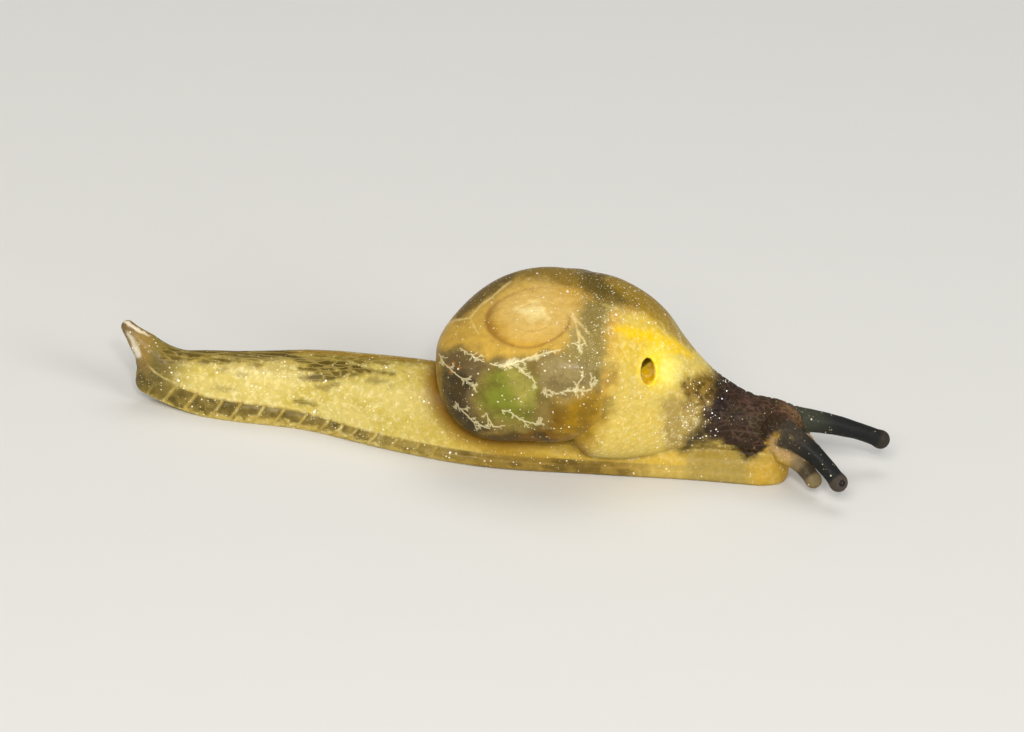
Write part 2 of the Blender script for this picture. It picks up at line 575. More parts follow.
def box_round(points, margin):
    """The corners of the box that holds some points, with a margin all round."""
    points = np.array(points)
    return points.min(axis=0) - margin, points.max(axis=0) + margin


def skin_block(step, film):
    """Every form of the flesh joined in one block, with the mouth's slit and the breathing pore cut in."""
    block = Block(SKIN_BOX, step)
    block.join(foot_form, FOOT_BOX, 0.02)
    block.join(lambda *place: horn_form(*place)[0], HORN_BOX, 0.30)
    block.join(lambda *place: egg_form(*place, UNDER_SHELL_CENTRE, UNDER_SHELL_RADII), UNDER_SHELL_BOX, 0.3)
    block.join(lambda *place: hump_form(*place, film), HUMP_BOX, 0.25)
    for side in SIDES:
        block.join(lambda *place: stalk_form(*place, side)[0], box_round(EYE_STALKS[side], 0.8), 0.22)
    block.join(lambda *place: egg_form(*place, LIPS_CENTRE, LIPS_RADII), box_round([LIPS_CENTRE], 1.0), 0.12)
    for paths, radii, fillet in ((FEELERS, FEELER_RADII, 0.10), (SNOUT_LOBES, SNOUT_LOBE_RADII, 0.08)):
        for side in SIDES:
            box = box_round(paths[side], 0.6)
            block.join(lambda *place: tube_form(*place, paths[side], radii)[0], box, fillet)
    block.cut(lambda *place: egg_form(*place, SLIT_CENTRE, SLIT_RADII), box_round([SLIT_CENTRE], 0.5), 0.05)
    block.cut(pore_form, box_round([PORE_CENTRE], 1.0), 0.05)
    return block


def net_over(block):
    """(points, four-sided faces) of the surface where the block's values pass through zero."""
    values = block.values
    within = values < 0
    shape = np.array(within.shape) - 1
    corners = list(itertools.product((0, 1), repeat=3))
    count = np.zeros(shape, np.int8)
    for i, j, k in corners:
        count += within[i:i + shape[0], j:j + shape[1], k:k + shape[2]]
    place = np.argwhere((count > 0) & (count < 8))
    number = np.full(shape, -1, np.int64)
    number[tuple(place.T)] = np.arange(len(place))
    total, hits = np.zeros((len(place), 3)), np.zeros(len(place))
    for start in corners:
        for axis in range(3):
            if start[axis]:
                continue
            end = list(start)
            end[axis] = 1
            a = values[tuple((place + start).T)].astype(float)
            b = values[tuple((place + end).T)].astype(float)
            crossed = (a < 0) != (b < 0)
            t = a[crossed] / (a[crossed] - b[crossed])
            total[crossed] += np.array(start)
            total[crossed, axis] += t
            hits[crossed] += 1
    points = (place + total / hits[:, None]) * block.step + block.low
    faces = []
    for axis in range(3):
        ahead = np.roll(within, -1, axis=axis)
        edge = within != ahead
        edge[tuple(slice(-1, None) if k == axis else slice(None) for k in range(3))] = False
        at = np.argwhere(edge)
        one, two = (axis + 1) % 3, (axis + 2) % 3
        near = []
        for step_one, step_two in ((0, 0), (-1, 0), (-1, -1), (0, -1)):
            cell = at.copy()
            cell[:, one] += step_one
            cell[:, two] += step_two
            near.append(number[tuple(cell.T)])
        quads = np.stack(near, axis=1)
        inward = within[tuple(at.T)]
        quads[~inward] = quads[~inward][:, ::-1]
        faces.append(quads)
    return points, np.concatenate(faces)


def neighbours(faces):
    """The two ends of each edge of four-sided faces, both ways round."""
    ends = np.concatenate([faces[:, [k, (k + 1) % 4]] for k in range(4)])
    return np.concatenate([ends, ends[:, ::-1]])


def relaxed(points, faces, rounds, pull):
    """Points drawn toward the middle of their neighbours."""
    ends = neighbours(faces)
    share = np.bincount(ends[:, 0], minlength=len(points))
    for _ in range(rounds):
        total = [np.bincount(ends[:, 0], points[ends[:, 1], k], len(points)) for k in range(3)]
        points = points + (np.stack(total, axis=1) / share[:, None] - points) * pull
    return points


def new_mesh(name, points, faces):
    """A smooth-shaded object from points in millimetres and four-sided faces."""
    mesh = bpy.data.meshes.new(name)
    mesh.vertices.add(len(points))
    mesh.vertices.foreach_set("co", (np.asarray(points) * MM).astype(np.float32).ravel())
    mesh.loops.add(faces.size)
    mesh.loops.foreach_set("vertex_index", faces.astype(np.int32).ravel())
    mesh.polygons.add(len(faces))
    mesh.polygons.foreach_set("loop_start", np.arange(0, faces.size, 4, dtype=np.int32))
    mesh.polygons.foreach_set("loop_total", np.full(len(faces), 4, np.int32))
    mesh.update(calc_edges=True)
    mesh.shade_smooth()
    obj = bpy.data.objects.new(name, mesh)
    bpy.context.scene.collection.objects.link(obj)
    return obj


def normals_of(mesh):
    """The way out of the surface at each point of a mesh."""
    normals = np.empty(len(mesh.vertices) * 3, np.float32)
    mesh.vertex_normals.foreach_get("vector", normals)
    return normals.reshape(-1, 3).astype(float)


def move_points(mesh, points):
    """Moves a mesh's points to places in millimetres."""
    mesh.vertices.foreach_set("co", (points * MM).astype(np.float32).ravel())
    mesh.update()


def keep_colour(mesh, name, colours):
    """Keeps a colour for each point under a name that a material reads."""
    layer = mesh.color_attributes.new(name, "FLOAT_COLOR", "POINT")
    rows = np.concatenate([np.clip(colours, 0, 1), np.ones((len(colours), 1))], axis=1)
    layer.data.foreach_set("color", rows.astype(np.float32).ravel())


def keep_value(mesh, name, values):
    """Keeps a number for each point under a name that a material reads."""
    layer = mesh.attributes.new(name, "FLOAT", "POINT")
    layer.data.foreach_set("value", np.asarray(values, np.float32))


def tree_of(points):
    """A search tree over points."""
    tree = KDTree(len(points))
    for index, point in enumerate(points):
        tree.insert(point, index)
    tree.balance()
    return tree


def in_picture(points):
    """The pixel of the picture at which each point is seen."""
    off = points - CAMERA_TARGET
    scale = CAMERA_DISTANCE / (CAMERA_DISTANCE - off @ TO_CAMERA) * PIXELS_PER_MM
    right, rise = off[:, 0] * scale, (off @ LEVEL_UP) * scale
    turn, lean = math.cos(CAMERA_ROLL), math.sin(CAMERA_ROLL)
    return np.stack([PICTURE_WIDTH / 2 + right * turn + rise * lean,
                     PICTURE_HEIGHT / 2 + right * lean - rise * turn], axis=1)


def cloud(points, size, seed, rounds=3):
    """A soft random value from 0 to 1 at each point, in lumps of that size in millimetres and finer ones."""
    total, weight, amount = np.zeros(len(points)), 0.0, 1.0
    for turn in range(rounds):
        table = np.random.default_rng(SEED + seed * 10 + turn).random((CLOUD_CELLS, CLOUD_CELLS, CLOUD_CELLS))
        place = points / size + CLOUD_CELLS / 2
        base = np.floor(place).astype(int)
        t = place - base
        t = t * t * (3 - 2 * t)
        sides = (1 - t, t)
        for i, j, k in itertools.product((0, 1), repeat=3):
            share = sides[i][:, 0] * sides[j][:, 1] * sides[k][:, 2]
            corner = (base + (i, j, k)) % CLOUD_CELLS
            total += amount * share * table[corner[:, 0], corner[:, 1], corner[:, 2]]
        weight += amount
        size, amount = size / 2, amount / 2
    return total / weight


def far_from_line(seen, line):
    """How many pixels each seen point is from a bent line."""
    line = np.array(line, float)
    nearest = np.full(len(seen), np.inf)
    for a, b in zip(line, line[1:]):
        run = b - a
        t = np.clip((seen - a) @ run / max(run @ run, 1e-9), 0, 1)[:, None]
        nearest = np.minimum(nearest, np.linalg.norm(seen - a - t * run, axis=1))
    return nearest


def inside_outline(seen, outline):
    """How many pixels each seen point is inside an outline; below 0 outside."""
    far = far_from_line(seen, [*outline, outline[0]])
    within = np.zeros(len(seen), bool)
    for (ax, ay), (bx, by) in zip(outline, [*outline[1:], outline[0]]):
        crosses = (ay > seen[:, 1]) != (by > seen[:, 1])
        side = ax + (seen[:, 1] - ay) * (bx - ax) / (by - ay if by != ay else 1e-9)
        within ^= crosses & (seen[:, 0] < side)
    return np.where(within, far, -far)


class Paint:
    """Colours laid over each other on the points of a mesh."""

    def __init__(self, points, seen, ground):
        self.points, self.seen = points, seen
        self.colours = np.tile(hex_colour(ground), (len(points), 1))

    def lay(self, colour, amount, chosen=slice(None)):
        """Lays an amount of a colour, from 0 to 1, on each point."""
        amount = np.clip(amount, 0, 1)[:, None]
        self.colours[chosen] = self.colours[chosen] * (1 - amount) + np.array(hex_colour(colour)) * amount

    def clouds(self, low, high, size, seed, rounds=3):
        """A random cloud, 0 at its value low and 1 at its value high."""
        return ramp(low, high, cloud(self.points, size, seed, rounds))

    def mask(self, outline, low, high):
        """0 at one depth in pixels inside an outline in the picture, and 1 at another."""
        return ramp(low, high, inside_outline(self.seen, outline))

    def around(self, pixel, squash=1.0):
        """How many pixels each point is seen from one pixel, where heights count that many times."""
        return np.hypot(self.seen[:, 0] - pixel[0], squash * (self.seen[:, 1] - pixel[1]))

    def near(self, outline, margin):
        """The numbers of the points whose pixels lie near an outline."""
        low, high = np.min(outline, axis=0) - margin, np.max(outline, axis=0) + margin
        return np.flatnonzero(((self.seen > low) & (self.seen < high)).all(axis=1))

    def patch(self, colour, outline, soft, strength=1.0, ragged=3.0, grain=0.35, seed=1):
        """A patch with an outline in the picture, soft over some pixels, its edge made ragged by a cloud."""
        chosen = self.near(outline, soft + 2 * ragged + 1)
        rough = (cloud(self.points[chosen], grain, seed, 4) - 0.5) * 4 * ragged
        depth = inside_outline(self.seen[chosen], outline) + rough
        self.lay(colour, strength * ramp(-soft, soft, depth), chosen)

    def stroke(self, colour, line, half, strength=1.0, soft=1.2, ragged=0.0, seed=2):
        """A line of some half-width in pixels, thinner toward both ends."""
        chosen = self.near(line, half + soft + ragged + 1)
        far = far_from_line(self.seen[chosen], line)
        ends = np.minimum(*(np.hypot(*(self.seen[chosen] - line[k]).T) for k in (0, -1)))
        half = half * (0.45 + 0.55 * ramp(0, 4 * half, ends))
        far = far + (cloud(self.points[chosen], 0.16, seed, 3) - 0.5) * 3 * ragged
        self.lay(colour, strength * (1 - ramp(half - soft / 2, half + soft / 2, far)), chosen)


def cells(points, size, seed):
    """(distance to the nearest, to the next) of randomly shifted cell middles, in shares of their spacing."""
    low, high = box_round(points, size)
    middles = np.stack(np.meshgrid(*[np.arange(low[k], high[k], size) for k in range(3)], indexing="ij"), -1)
    middles = middles.reshape(-1, 3)
    middles += (np.random.default_rng(SEED + seed).random(middles.shape) - 0.5) * size * 0.9
    tree = tree_of(middles)
    found = np.array([[hit[2] for hit in tree.find_n(point, 2)] for point in points])
    return found[:, 0] / size, found[:, 1] / size


def skin_parts(points):
    """By name, (how much each point belongs to a part of the flesh, the share of the way along that part)."""
    x, y, z = points.T
    parts = {}
    for side in SIDES:
        far, place = stalk_form(x, y, z, side)
        parts[f"stalk_{side}"] = (1 - ramp(0.0, 0.10, far), place)
        far, place = tube_form(x, y, z, FEELERS[side], FEELER_RADII)
        parts[f"feeler_{side}"] = (1 - ramp(0.0, 0.06, far), place)
        far, place = tube_form(x, y, z, SNOUT_LOBES[side], SNOUT_LOBE_RADII)
        parts[f"lobe_{side}"] = (1 - ramp(0.0, 0.05, far), place)
    parts["lips"] = (1 - ramp(0.0, 0.08, egg_form(x, y, z, LIPS_CENTRE, LIPS_RADII)), None)
    far, place = horn_form(x, y, z)
    parts["horn"] = ((1 - ramp(0.0, 0.15, far)) * ramp(-10.3, -10.6, x), place)
    parts["foot"] = (1 - ramp(0.02, 0.08, foot_form(x, y, z)), None)
    return parts


def fringe_place(points):
    """How far down the marked band of the fringe each point lies: 0 at its top, 1 at the floor."""
    x, z = points[:, 0], points[:, 2]
    at = np.clip(x, TAIL_END_X, FOOT_FRONT_X)
    lift = np.maximum(along(TAIL_LIFT, at), 0)
    tall = along(FRINGE_MARK_HEIGHT, at)
    return (lift + tall - z) / tall


def fringe_lines(seen, down):
    """How near each point of the fringe is to one of its slanting lines, from 0 to 1."""
    place = seen[:, 0] + np.clip(down, -0.2, 1.2) * FRINGE_SLANT_PX
    near = np.min([np.abs(place - line) for line in FRINGE_LINES_PX], axis=0)
    return 1 - ramp(0.8, 2.4, near)


def pixel_of(points, normals):
    """The pixel whose marking a point takes. It is the point's own where the camera sees it. On the far side
    it is that of the point straight across the spine, so that both sides are marked alike."""
    middle = spine_y(points[:, 0])
    across = np.array(points)
    across[:, 1] = middle - np.abs(points[:, 1] - middle)
    hidden = ramp(0.0, -0.35, normals @ TO_CAMERA)[:, None]
    return in_picture(points) * (1 - hidden) + in_picture(across) * hidden


def lump_skin(points, normals, size, height):
    """Moves the skin out and in for its tubercles, fringe grooves, pore rim and uneven flesh."""
    x, y, z = points.T
    down = fringe_place(points)
    on_fringe = ramp(-0.05, 0.1, down) * ramp(1.05, 0.9, down) * ramp(-1.0, -2.0, x)
    lines = fringe_lines(pixel_of(points, normals), down)
    move = -GROOVE_DEPTH * lines * on_fringe * (np.abs(normals[:, 1]) > 0.4)
    head = ramp(5.4, 6.4, x + 0.5 * (2.2 - z)) * ramp(8.9, 8.5, x) * ramp(0.9, 1.1, z)
    chosen = np.flatnonzero(head > 0)
    near, next_near = cells(points[chosen], size, 3)
    move[chosen] += height * (ramp(0.0, 0.35, next_near - near) - 0.6) * head[chosen]
    thick = np.maximum(ramp(0.2, 0.9, ahead_of_edge(x, y, z)), ramp(0.1, 0.3, shell_form(x, y, z)))
    move += FLESH_UNEVENNESS * (cloud(points, 0.5, 5) - 0.5) * ramp(0.1, 0.3, z) * thick
    rim = np.exp(-((pore_form(x, y, z) - 0.07) / 0.08) ** 2)
    move += PORE_RIM_HEIGHT * rim * ramp(0.3, 0.7, -normals[:, 1])
    return points + normals * move[:, None]


def paint_hump(paint):
    """The markings that run across the shell's near side and the mantle, laid from the shell forward."""
    paint.patch("#866a1e", HUMP_BROWN_PX, 6, 0.9, 3, seed=11)
    paint.patch("#5a4818", SHELL_TOP_DARK_PX, 5, 0.85, 2, seed=52)
    paint.patch("#6f6034", SHELL_LOWER_PX, 5, 0.85, 3, seed=56)
    paint.patch("#857640", SHELL_UPPER_RIGHT_PX, 9, 0.9, 5, seed=53)
    paint.patch("#594b1e", HUMP_DARK_PX, 9, 0.85, 3, seed=12)
    paint.patch("#625236", SHELL_DARK_LEFT_PX, 7, 0.85, 5, seed=54)
    paint.patch("#2f2614", SHELL_DARKEST_PX, 7, 0.85, 5, seed=70)
    for spot in SHELL_SPOTS_PX:
        paint.lay("#b06c1c", 0.8 * ramp(2.4, 0.8, paint.around(spot)))
    paint.patch("#727822", SHELL_GREEN_PX, 11, 0.9, 5, seed=57)
    paint.patch("#a29648", SHELL_PALE_GREEN_PX, 10, 0.75, 4, seed=68)
    paint.patch("#8f7e50", SHELL_GREY_PX, 6, 0.85, 4, seed=55)
    paint.patch("#704e04", SHELL_ORANGE_PX, 6, 0.9, 3, seed=58)
    paint.patch("#382900", SHELL_RIM_PX, 3, 0.9, 2, seed=59)
    amber = paint.clouds(0.42, 0.62, 0.3, 81, 4) * paint.mask(SHELL_RIM_PX, -7, 3)
    paint.lay("#7a5206", 0.8 * amber * ramp(*RIM_AMBER_X_PX, paint.seen[:, 0]))
    paint.patch("#c8ae52", MANTLE_PX, 10, 1.0, 7, seed=60)
    paint.lay("#cfae34", 0.8 * ramp(42, 16, paint.around(MANTLE_GLOW_PX)))
    paint.patch("#96720e", MANTLE_AMBER_PX, 12, 0.85, 3, seed=61)
    paint.patch("#8e7018", MANTLE_TOP_PX, 5, 0.8, 3, seed=62)


def paint_mantle(paint, pore):
    """The mantle's own colours: a bright band over the breathing pore, and dusky flesh toward the neck."""
    paint.patch("#8d7640", NECK_PALE_PX, 9, 0.75, 5, seed=66)
    paint.stroke("#e6bc00", MANTLE_BAND_PX, 6, 0.88, 8, 2.0, 63)
    paint.lay("#e6cd3c", 0.85 * ramp(26, 8, paint.around(PORE_GLOW_PX, 0.8)))
    paint.stroke("#d0bd60", MANTLE_PALE_LINE_PX, 2.0, 0.45, 5, 2.5, 82)
    paint.patch("#634a14", NECK_SHADE_PX, 9, 0.95, 5, seed=14)
    shaded = paint.mask(NECK_SHADE_PX, -4, 6)
    paint.lay("#33260c", 0.55 * shaded * paint.clouds(0.50, 0.66, 0.15, 83, 4))
    paint.lay("#a3843a", 0.35 * shaded * paint.clouds(0.50, 0.36, 0.15, 83, 4))
    paint.patch("#936c08", MANTLE_LOBE_PX, 4, 0.85, 1, seed=64)
    paint.stroke("#755609", MANTLE_LOW_EDGE_PX, 1.4, 0.5, 4)
    paint.lay("#d5c590", 0.5 * paint.mask(NECK_FLECKS_PX, -6, 4) * paint.clouds(0.52, 0.68, 0.13, 75, 3))
    paint.lay("#eedd74", 0.7 * ramp(18, 6, paint.around(PORE_SHINE_PX, 0.9)))
    x, y = paint.seen.T
    paint.lay("#ffd400", 0.95 * np.exp(-((pore - 0.05) / 0.09) ** 2) * ramp(*PORE_RIM_X_PX, x))
    within = ramp(0.05, 0.02, pore)
    across = y - PORE_GLINT_PX[1] + 0.8 * (x - PORE_GLINT_PX[0])
    paint.lay("#c39a08", within)
    paint.lay("#705500", within * ramp(1.5, -1.5, across) * ramp(*PORE_SHADE_X_PX, x))
    paint.lay("#d9b82c", 0.8 * within * np.exp(-(across / 1.1) ** 2) * ramp(*PORE_GLINT_X_PX, x))


def paint_foot(paint, amount):
    """The fringe with its dark blotches, and the thin pale line along its top."""
    points = paint.points
    x, _, z = points.T
    rear = ramp(-8.9, -10.1, x - 0.3 * (z - 1.5))
    paint.lay("#5f522b", 0.9 * rear)
    down = fringe_place(points)
    low = ramp(-0.10, 0.05, down) * amount
    paint.lay("#ad9548", 0.85 * low * (1 - 0.6 * rear))
    middle = low * ramp(-3.5, 0.0, x) * ramp(4.8, 3.4, x)
    paint.lay("#846a28", 0.85 * middle)
    paint.lay("#463613", 0.55 * middle * ramp(0.50, 0.66, cloud(points * (0.5, 1, 1), 0.24, 25, 4)))
    paint.lay("#bca54e", 0.7 * low * ramp(0.55, 0.95, down) * ramp(0.0, -2.0, x) * (1 - 0.7 * rear))
    ragged = 0.7 * (cloud(points, 0.16, 23, 4) - 0.5)
    bottom = along(BLOTCH_BOTTOM, x)
    blotch = ramp(0.02, 0.12, down) * ramp(bottom + 0.14, bottom - 0.10, down + ragged)
    blotch *= (1 - 0.8 * fringe_lines(paint.seen, down)) * (0.30 + 1.15 * cloud(points, 0.22, 24, 5))
    paint.lay("#53461e", 0.9 * blotch * along(BLOTCH_STRENGTH, x) * amount)
    line = np.exp(-((down + 0.05) / 0.05) ** 2) * ramp(1.0, -2.0, x)
    paint.lay("#d2be70", 0.55 * line * np.maximum(amount, rear))


def paint_back(paint, normals):
    """Brown streaks on the tail's back and a golden ridge. Gives how much of each point the streaks cover."""
    x, y, z = paint.points.T
    above = ramp(1.15, 1.6, z - 0.18 * (x + 6)) * ramp(-1.4, -2.6, x)
    paint.lay("#8a742e", 0.5 * above * ramp(0.35, 0.75, normals[:, 2]) * ramp(-3.0, -5.0, x))
    before = paint.colours.copy()
    for half, strength, line in BACK_STREAKS_PX:
        paint.stroke(STREAK_BROWN, line, half, strength, 4.4, 1.6, 65)
    brown = np.array(hex_colour(STREAK_BROWN))
    streaked = np.linalg.norm(paint.colours - before, axis=1) / np.linalg.norm(brown - before, axis=1)
    ridge = np.exp(-((y - spine_y(x)) / 0.10) ** 2) * ramp(0.6, 0.9, normals[:, 2])
    paint.lay("#84620c", 0.6 * ridge * ramp(-8.5, -5.0, x) * ramp(-1.6, -2.4, x))
    paint.stroke("#86701c", BACK_GOLD_PX, 3.5, 0.5, 6, 1.6, 84)
    paint.stroke("#96700a", RIDGE_GOLD_PX, 1.6, 0.85, 2.8, 0.8, 78)
    return streaked


def paint_head(paint, parts):
    """The dark head, the snout and the foot's front. Gives the head's darkness and its depth in pixels."""
    seen = paint.seen
    x, _, z = paint.points.T
    on_foot = parts["foot"][0]
    paint.lay("#9c8640", paint.mask(FOOT_PALE_PX, -10, 5) * ramp(4.5, 5.5, x))
    paint.lay("#9a8238", 0.8 * paint.mask(CHIN_GOLD_PX, -9, 6) * on_foot)
    paint.lay("#bc962e", 0.7 * paint.mask(FOOT_GOLD_PX, -9, 6) * ramp(6, 7, x))
    paint.lay("#c48a10", 0.6 * ramp(8.40, 8.5, x) * on_foot)
    depth = inside_outline(seen, HEAD_DARK_PX) + (cloud(paint.points, 0.22, 15, 4) - 0.5) * 12
    soft = 3 + 6 * ramp(*HEAD_SOFT_X_PX, seen[:, 0])
    dark = ramp(-soft, soft + 1, depth) * ramp(4.2, 5.2, x)
    dark = np.maximum(dark, ramp(5.7, 6.3, x) * ramp(1.9, 2.3, z) * ramp(9.2, 8.8, x))
    paint.lay("#211816", 0.97 * dark)
    below = seen[:, 1] - HEAD_CREST_SLOPE * (seen[:, 0] - HEAD_CREST_PX[0]) - HEAD_CREST_PX[1]
    crest = ramp(3, 9, below) * ramp(26, 12, below)
    paint.lay("#3a281c", 0.8 * crest * dark * ramp(*HEAD_CREST_X_PX, seen[:, 0]))
    paint.lay("#30211c", 0.6 * dark * paint.clouds(0.45, 0.6, 0.5, 76))
    paint.patch("#6d5232", HEAD_TAN_PX, 6, 0.4, 3, seed=67)
    paint.lay("#a98c60", 0.9 * paint.mask(SNOUT_PX, -4, 4) * ramp(7.4, 7.8, x))
    for name in ("lips", "lobe_right", "lobe_left"):
        paint.lay("#967b52", 0.9 * parts[name][0])
    return dark, depth


def paint_feelers(paint, parts):
    """Slate eye stalks that end in a clear grey bulb, and shorter brown feelers with a cream tip."""
    patchy = cloud(paint.points, 0.15, 31)
    for side, root, bulb in (("right", "#3b332a", "#463f37"), ("left", "#393b30", "#332e27")):
        amount, place = parts[f"stalk_{side}"]
        paint.lay(root, amount * ramp(0.02, 0.14, place))
        paint.lay("#202120", amount * ramp(0.25, 0.55, place))
        paint.lay(bulb, amount * ramp(0.93, 0.98, place))
        amount, place = parts[f"feeler_{side}"]
        paint.lay("#786748", amount * ramp(0.15, 0.45, place))
        paint.lay("#352d25", 0.9 * amount * ramp(0.50, 0.66, place) * (0.6 + 0.6 * patchy))
        paint.lay("#7a6c4c", amount * ramp(0.86, 0.95, place))


def paint_horn(paint, normals, parts):
    """The tail's horn: darker toward its tip, with wet white streaks down its back and its rear."""
    amount, place = parts["horn"]
    paint.lay("#8c733a", amount)
    paint.lay("#6f5c3c", amount * ramp(0.6, 1.0, place) * 0.8)
    paint.stroke("#ded2ba", HORN_GLINT_PX, 1.5, 0.85, 2.0, 1.2, 79)
    streak = far_from_line(paint.seen, HORN_STREAK_PX) + 2 * cloud(paint.points, 0.1, 77)
    paint.lay("#e6dfce", 0.8 * amount * ramp(6.0, 2.2, streak) * ramp(0.0, -0.5, normals[:, 0]))


def paint_skin(points, normals):
    """(colours of the skin, by name how much of each small marking, of mucus and of light let in)."""
    x, y, z = points.T
    parts = skin_parts(points)
    on_foot = parts["foot"][0]
    ahead, off_shell, pore = (form(x, y, z) for form in (ahead_of_edge, shell_form, pore_form))
    paint = Paint(points, pixel_of(points, normals), "#bda951")
    paint.lay("#cdbb70", 0.65 * paint.clouds(0.42, 0.62, 0.8, 21) * ramp(-1.0, -3.0, x))
    paint.lay("#bf9c38", 0.75 * ramp(-3.5, 0.5, x))
    under = ramp(0.7, 0.05, off_shell) * ramp(0.1, -0.1, ahead)
    paint.lay("#755002", 0.97 * under)
    paint_foot(paint, on_foot)
    paint.stroke("#866606", UNDER_SHELL_PX, 3, 0.5, 6, 1.0, 85)
    streaked = paint_back(paint, normals)

    blend = 0.35 * ramp(0.2, 1.0, y) * ramp(2.4, 1.6, z)
    hump = ramp(-0.32 - blend, -0.30 + blend, ahead) * (1 - on_foot) * ramp(8.6, 7.5, x)
    mantle = Paint(points, paint.seen, "#b9923a")
    paint_hump(mantle)
    paint_mantle(mantle, pore)
    over = np.flatnonzero((ahead > -0.35) & (ahead < 1.0) & (off_shell < 0.3))
    share = ramp(0.95, 0.15, ahead[over]) * ramp(0.3, 0.08, off_shell[over])
    shell_colours, specks = paint_shell(points[over], normals[over])
    mantle.colours[over] += (shell_colours - mantle.colours[over]) * share[:, None]
    paint.colours += (mantle.colours - paint.colours) * hump[:, None]

    dark, depth = paint_head(paint, parts)
    paint_feelers(paint, parts)
    paint_horn(paint, normals, parts)

    stalks = [parts[f"stalk_{side}"] for side in SIDES]
    feelers = [parts[f"feeler_{side}"] for side in SIDES]
    slender = np.max([amount for amount, _ in stalks + feelers], axis=0)
    bulb = np.max([amount * ramp(0.88, 0.95, place) for amount, place in stalks], axis=0)
    edge = np.exp(-((depth + 5) / 9) ** 2) * ramp(7.4, 6.2, x) * ramp(4.0, 5.0, x) * (1 - on_foot)
    grains = (0.15 + 0.27 * paint.clouds(0.45, 0.62, 0.5, 22)) * (1 - 0.5 * on_foot * ramp(0, 4, x))
    grains = grains * ramp(0.9, 0.3, under) * (1 - 0.85 * dark) * (1 - 0.6 * streaked)
    grains = np.maximum(grains, 0.75 * paint.mask(HUMP_SPECKS_PX, -8, 5) * hump)
    grains[over] += (specks - grains[over]) * share
    grains = np.maximum(grains, 0.26 * edge) * ramp(0.0, 0.15, pore)
    flecks = np.maximum(0.35 * edge, paint.mask(NECK_FLECKS_PX, -8, 4) * hump)
    flecks = 0.6 * flecks * (0.20 + 0.90 * paint.clouds(0.40, 0.60, 0.4, 80))
    tail = ramp(0.0, -2.0, x)
    curds = 0.34 + 0.16 * tail - 0.14 * ramp(-5.0, -2.5, x) * ramp(1.0, 0.0, x)
    curds = curds * (1 - 0.6 * on_foot * (1 - tail)) * (1 - under) * (1 - slender) * (1 - dark)
    curds = curds * (1 - parts["horn"][0]) * ramp(0.16, 0.42, paint.colours[:, 0])
    curds[over] *= 1 - share
    light_depth = np.full(len(points), 0.30)
    light_depth[over] *= 1 - share
    warts = dark * ramp(5.6, 6.6, x) * (1 - slender)
    amounts = {
        "grains": grains * (1 - slender) + 0.12 * slender * (1 - bulb),
        "flecks": flecks * (1 - slender),
        "curds": curds,
        "warts": warts,
        "threads": streaked * (1 - hump),
        "mucus": 0.30 - 0.12 * warts - 0.20 * slender,
        "light_depth": light_depth,
    }
    return paint.colours, amounts


def fill_sockets(tree, item, values):
    """Gives sockets their values, or a link where the value is an output, or a node for its first output."""
    for socket, value in values.items():
        if isinstance(value, bpy.types.Node):
            value = value.outputs[0]
        if isinstance(value, bpy.types.NodeSocket):
            tree.links.new(value, item.inputs[socket])
        else:
            item.inputs[socket].default_value = value


def node(tree, kind, values=None, **settings):
    """Adds a node: settings are its own, and values go to its sockets."""
    new = tree.nodes.new("ShaderNode" + kind)
    for name, value in settings.items():
        setattr(new, name, value)
    fill_sockets(tree, new, values or {})
    return new


def new_material(name):
    """A material, its tree and its empty shader, with the shader linked to the output."""
    material = bpy.data.materials.new(name)
    material.use_nodes = True
    return material, material.node_tree, material.node_tree.nodes["Principled BSDF"]


def grains_on(tree, colour, place, spacing, radius, amount, tint, strength=1.0):
    """(colour with pale grains laid on it, the grains' own amount). Sizes are in millimetres."""
    pattern = node(tree, "TexVoronoi", {"Vector": place, "Scale": per_metre(spacing)})
    chance = node(tree, "SeparateColor", {"Color": pattern.outputs["Color"]})
    chosen = node(tree, "Math", {0: chance, 1: amount}, operation="LESS_THAN")
    sizes = {0: chance.outputs[1], 1: radius / spacing, 2: 0.35 * radius / spacing}
    size = node(tree, "Math", sizes, operation="MULTIPLY_ADD")
    inner = node(tree, "Math", {0: pattern, 1: size}, operation="DIVIDE")
    spot = node(tree, "MapRange", {"Value": inner, "From Min": 1.3, "From Max": 0.6},
                interpolation_type="SMOOTHSTEP")
    both = node(tree, "Math", {0: spot, 1: chosen}, operation="MULTIPLY")
    part = node(tree, "Math", {0: both, 1: strength}, operation="MULTIPLY")
    mixed = node(tree, "Mix", {0: part, 6: colour, 7: opaque(tint)}, data_type="RGBA")
    return mixed.outputs[2], both


def warped(tree, place, size, shift):
    """Coordinates shifted by a noise of that size, in millimetres, so that a cell pattern looks grown."""
    noise = node(tree, "TexNoise", {"Vector": place, "Scale": per_metre(size), "Detail": 2.0})
    centred = node(tree, "VectorMath", {0: noise.outputs["Color"], 1: (0.5, 0.5, 0.5)}, operation="SUBTRACT")
    scaled = node(tree, "VectorMath", {0: centred, "Scale": shift * MM}, operation="SCALE")
    return node(tree, "VectorMath", {0: place, 1: scaled})


def toned_by_noise(tree, colour, place, size, low, high):
    """A colour made darker and lighter by a fine noise of that size in millimetres."""
    mottle = node(tree, "TexNoise", {"Vector": place, "Scale": per_metre(size), "Detail": 5.0,
                                     "Roughness": 0.65})
    shade = node(tree, "MapRange", {"Value": mottle, "From Min": 0.32, "From Max": 0.68,
                                    "To Min": low, "To Max": high})
    return node(tree, "VectorMath", {0: colour, "Scale": shade}, operation="SCALE")


